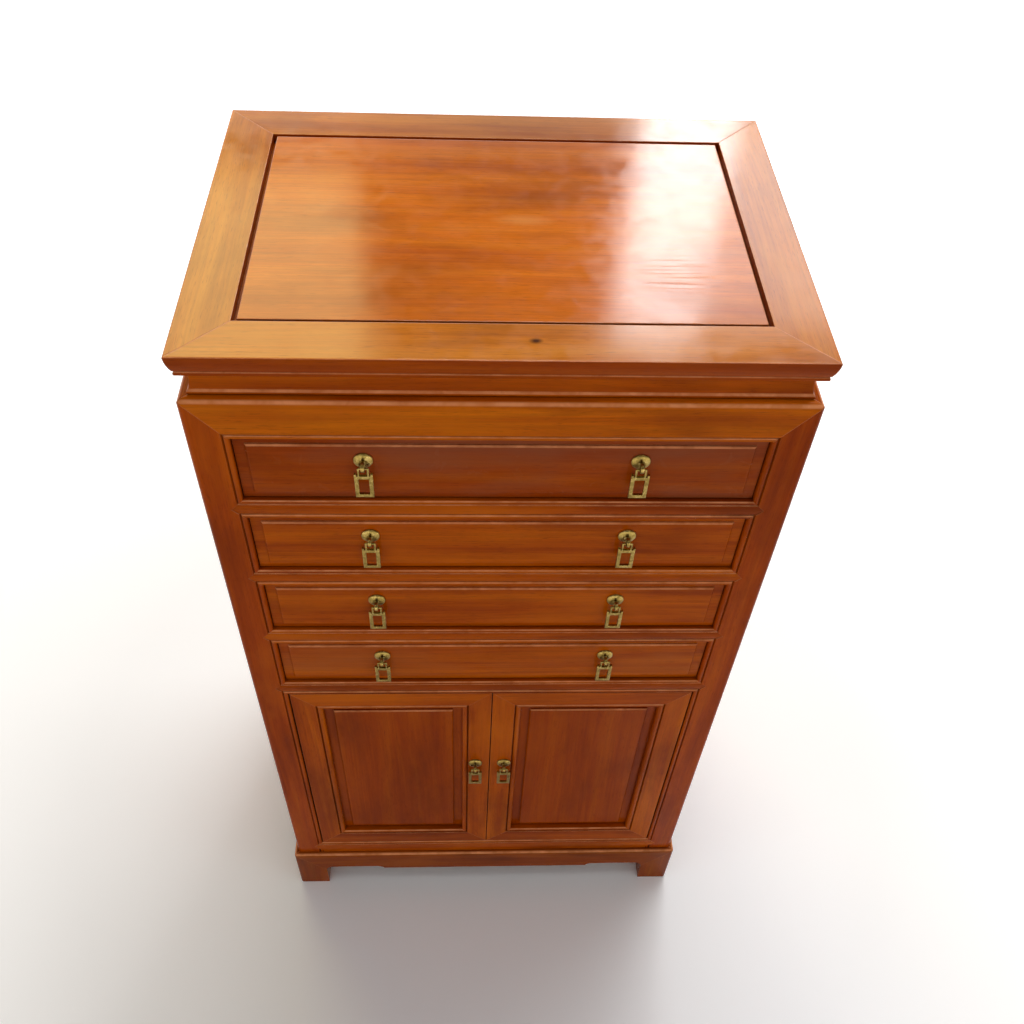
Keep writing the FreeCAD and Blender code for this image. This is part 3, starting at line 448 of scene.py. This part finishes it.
def dome():
    """A rose: a thin rim under a low dome, turned about the Z axis."""
    profile = [(0.0, 0.0), (ROSE_RADIUS, 0.0)]
    for step in range(DOME_STEPS + 1):
        turn = math.radians(90 * step / DOME_STEPS)
        rise = (ROSE_HEIGHT - ROSE_RIM) * math.sin(turn)
        profile.append((ROSE_RADIUS * math.cos(turn), ROSE_RIM + rise))
    profile[-1] = (0.0, ROSE_HEIGHT)
    shape = bmesh.new()
    rings = []
    for radius, height in profile:
        ring = [(0.0, 0.0)] if radius == 0.0 else circle(radius)
        rings.append([shape.verts.new((x, y, height)) for x, y in ring])
    for lower, upper in zip(rings, rings[1:]):
        for step in range(ROUND_STEPS):
            after = (step + 1) % ROUND_STEPS
            corners = [lower[step % len(lower)], lower[after % len(lower)],
                       upper[after % len(upper)], upper[step % len(upper)]]
            shape.faces.new(list(dict.fromkeys(corners)))
    mesh = bpy.data.meshes.new("dome")
    shape.to_mesh(mesh)
    shape.free()
    return mesh


def eye(back):
    """A strip bent into a ring; its two ends run back together and are spread behind the wood."""
    spread = math.degrees(math.asin(EYE_STRIP / EYE_OUTER))
    edge = circle(EYE_OUTER, spread, 360 - spread)
    edge += [(back, -EYE_STRIP), (back, -TAIL_REACH), (back + EYE_STRIP, -TAIL_REACH),
             (back + EYE_STRIP, TAIL_REACH), (back, TAIL_REACH), (back, EYE_STRIP)]
    return plate([edge, circle(EYE_OUTER - EYE_STRIP)], EYE_WIDTH)


def drop_plate():
    """The drop's frame: four bars with ears on the upper corners."""
    half = DROP_WIDTH / 2
    top = -SHACKLE_DROP
    foot = top - DROP_HEIGHT
    edge = [(half, foot), (half, top + EAR), (half - EAR_WIDTH, top + EAR), (half - EAR_WIDTH, top),
            (EAR_WIDTH - half, top), (EAR_WIDTH - half, top + EAR), (-half, top + EAR), (-half, foot)]
    inside = half - DROP_BAR
    hole = [(inside, foot + DROP_BAR), (inside, top - DROP_BAR),
            (-inside, top - DROP_BAR), (-inside, foot + DROP_BAR)]
    return plate([edge, hole], DROP_THICK)


def shackle():
    """The round wire that hangs the drop in its eye."""
    root = -SHACKLE_DROP - DROP_BAR / 2
    middle = SHACKLE_HALF / 2
    path = [(-SHACKLE_HALF, root), (-SHACKLE_HALF, -middle), (-SHACKLE_HALF, 0.0), (-middle, 0.0),
            (middle, 0.0), (SHACKLE_HALF, 0.0), (SHACKLE_HALF, -middle), (SHACKLE_HALF, root)]
    return curve_mesh("NURBS", [path], False, dimensions="3D", resolution_u=8, bevel_depth=WIRE,
                      bevel_resolution=4, use_fill_caps=True)


def piece(name, body, slot, node, parts):
    """One object from meshes in millimetres, each with its place, that stands for a CAD node."""
    shape = bmesh.new()
    for mesh, place in parts:
        start = len(shape.verts)
        shape.from_mesh(mesh)
        shape.verts.ensure_lookup_table()
        bmesh.ops.transform(shape, matrix=place @ Matrix.Scale(MM, 4), verts=shape.verts[start:])
        bpy.data.meshes.remove(mesh)
    bmesh.ops.remove_doubles(shape, verts=shape.verts, dist=WELD * MM)
    bmesh.ops.recalc_face_normals(shape, faces=shape.faces)
    mesh = bpy.data.meshes.new(name)
    shape.to_mesh(mesh)
    shape.free()
    for face in mesh.polygons:
        face.use_smooth = True
    mesh.set_sharp_from_angle(angle=SMOOTH_BELOW)
    mesh.materials.append(looks[slot])
    thing = bpy.data.objects.new(name, mesh)
    bpy.context.scene.collection.objects.link(thing)
    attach(thing, body)
    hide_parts(node)


fixed_parts = {}
for joint in frame["joints"]:
    if not joint["name"].endswith("_drop_swing"):
        continue
    drop, owner = joint["child"], joint["parent"]
    hung = Matrix.Translation(joint["pos_m"])
    piece(f"{drop}_link", drop, "drop_brass", drop,
          [(drop_plate(), hung @ FACING), (shackle(), hung @ FACING)])
    ring = hung @ Matrix.Translation((0.0, 0.0, BAR_DROP * MM))
    wood_face = ring @ Matrix.Translation((0.0, EYE_AHEAD * MM, 0.0))
    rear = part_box(f"{owner}_pull_fixings")[1].y - joint["pos_m"][1]
    fixed_parts.setdefault(owner, []).extend([
        (dome(), wood_face @ FACING),
        (eye(rear / MM - EYE_STRIP), ring @ SIDEWAYS),
    ])
for owner, parts in fixed_parts.items():
    piece(f"{owner}_roses_and_eyes", owner, "fixing_brass", f"{owner}_pull_fixings", parts)


# Floor: where the camera or a reflection sees it, it is paler, and more so far away, so that it looks white
FLOOR_REACH = 12.0
FLOOR_TONE = (0.80, 0.80, 0.80, 1.0)
# Two rises of the seen tone: the distances in metres between which it rises, and the tones there
NEAR_RISE = (0.6, 4.0, 1.22, 3.2)
FAR_RISE = (2.5, 8.0, 0.0, 6.0)
floor_mesh = bpy.data.meshes.new("floor")
floor_mesh.from_pydata([(-FLOOR_REACH, -FLOOR_REACH, 0), (FLOOR_REACH, -FLOOR_REACH, 0),
                        (FLOOR_REACH, FLOOR_REACH, 0), (-FLOOR_REACH, FLOOR_REACH, 0)], [], [(0, 1, 2, 3)])
floor = bpy.data.objects.new("floor", floor_mesh)
bpy.context.scene.collection.objects.link(floor)
ground = Shader("floor")
ground.feed(ground.surface, Base_Color=FLOOR_TONE, Roughness=0.9, Specular_IOR_Level=0.0)
away = ground.add("VectorMath", {"operation": "LENGTH"}, i0=ground.add("TexCoord").outputs["Object"])
distance = away.outputs["Value"]
pale = ground.maths("ADD", ground.span(distance, *NEAR_RISE), ground.span(distance, *FAR_RISE))
pale_tone = ground.add("CombineColor", Red=pale, Green=pale, Blue=pale).outputs[0]
shown = ground.add("BsdfDiffuse", Color=pale_tone)
path = ground.add("LightPath").outputs
seen = ground.maths("ADD", path["Is Camera Ray"], path["Is Glossy Ray"])
seen = ground.maths("ADD", seen, path["Is Transmission Ray"])
either = ground.add("MixShader", i0=seen, i1=ground.surface.outputs[0], i2=shown.outputs[0])
ground.tree.links.new(either.outputs[0], ground.tree.nodes["Material Output"].inputs["Surface"])
floor_mesh.materials.append(ground.material)

# World: white at the horizon, then pale, and dim from a third of the way to overhead.
# Each pair is a height in degrees and the level there.
SKY_LEVELS = ((0, 1.0), (14, 1.0), (18, 0.5), (23, 0.45), (28, 0.12))
world = bpy.data.worlds.new("studio")
bpy.context.scene.world = world
world.use_nodes = True
tree = world.node_tree
heading = tree.nodes.new("ShaderNodeTexCoord")
split = tree.nodes.new("ShaderNodeSeparateXYZ")
levels = tree.nodes.new("ShaderNodeValToRGB")
while len(levels.color_ramp.elements) < len(SKY_LEVELS):
    levels.color_ramp.elements.new(0.5)
for stop, (degrees, level) in zip(levels.color_ramp.elements, SKY_LEVELS):
    stop.position = math.sin(math.radians(degrees))
    stop.color = (level, level, level, 1.0)
tree.links.new(heading.outputs["Generated"], split.inputs[0])
tree.links.new(split.outputs["Z"], levels.inputs["Fac"])
tree.links.new(levels.outputs["Color"], tree.nodes["Background"].inputs["Color"])


WHITE = (1.0, 1.0, 1.0)
YELLOW = (1.0, 0.84, 0.40)
BACK_WALL = 2.5


def area_light(name, spot, target, width, height, level, tint=WHITE):
    """A soft lamp that faces a point; its level is the brightness at which its face is seen."""
    lamp = bpy.data.lights.new(name, "AREA")
    lamp.shape = "RECTANGLE"
    lamp.size = width
    lamp.size_y = height
    lamp.energy = level * math.pi * width * height
    lamp.color = tint
    thing = bpy.data.objects.new(name, lamp)
    bpy.context.scene.collection.objects.link(thing)
    thing.location = spot
    thing.rotation_euler = (Vector(target) - Vector(spot)).to_track_quat("-Z", "Y").to_euler()


def wall_light(name, x, z, width, height, level, tint=WHITE):
    """A lamp flat against the back wall, such as a window or a lit stretch of wall."""
    area_light(name, (x, BACK_WALL, z), (x, 0.0, z), width, height, level, tint)


area_light("ceiling", spot=(0.55, 1.1, 3.0), target=(0.55, 1.1, 0.0), width=1.6, height=1.6, level=6.0)
for hand in (-1, 1):
    side = "left" if hand < 0 else "right"
    area_light(f"front_{side}", spot=(1.05 * hand, -2.6, 1.6), target=(0.0, -0.2, 0.6),
               width=1.25, height=0.5, level=1.4)
    area_light(f"overhead_{side}", spot=(0.62 * hand, -0.5, 2.0), target=(0.62 * hand, -0.5, 0.0),
               width=0.75, height=0.35, level=1.6)
wall_light("back_wall", x=0.10, z=1.70, width=0.92, height=1.10, level=0.9)
wall_light("window", x=0.73, z=2.58, width=0.34, height=1.06, level=11.0)
wall_light("right_wall", x=1.28, z=2.60, width=0.70, height=0.90, level=4.0)
wall_light("left_window", x=-1.13, z=1.75, width=1.55, height=0.90, level=1.6)
wall_light("left_wall", x=-1.29, z=2.95, width=1.78, height=1.10, level=3.9, tint=YELLOW)

# Camera: where the photograph was taken from, worked out from the cabinet's edges in it
EYE = Vector((-0.0344, -0.7861, 1.4687))
YAW, PITCH, ROLL = math.radians(4.244), math.radians(49.189), math.radians(3.322)
# The focal length and the middle of the view, in pixels of a square picture
FOCAL_PIXELS = 1050.73
CENTRE_PIXELS = (512.0, 528.0)
PICTURE = 1024
forward = Vector((math.sin(YAW) * math.cos(PITCH), math.cos(YAW) * math.cos(PITCH), -math.sin(PITCH)))
level_right = Vector((math.cos(YAW), -math.sin(YAW), 0.0))
level_up = level_right.cross(forward)
right = math.cos(ROLL) * level_right + math.sin(ROLL) * level_up
top = math.cos(ROLL) * level_up - math.sin(ROLL) * level_right
lens = bpy.data.cameras.new("camera")
lens.sensor_width = 36.0
lens.lens = lens.sensor_width * FOCAL_PIXELS / PICTURE
lens.shift_x = (PICTURE / 2 - CENTRE_PIXELS[0]) / PICTURE
lens.shift_y = (CENTRE_PIXELS[1] - PICTURE / 2) / PICTURE
camera = bpy.data.objects.new("camera", lens)
bpy.context.scene.collection.objects.link(camera)
turn = Matrix((right, top, -forward)).transposed().to_4x4()
camera.matrix_world = Matrix.Translation(EYE) @ turn
bpy.context.scene.camera = camera
bpy.context.scene.view_settings.view_transform = "Standard"
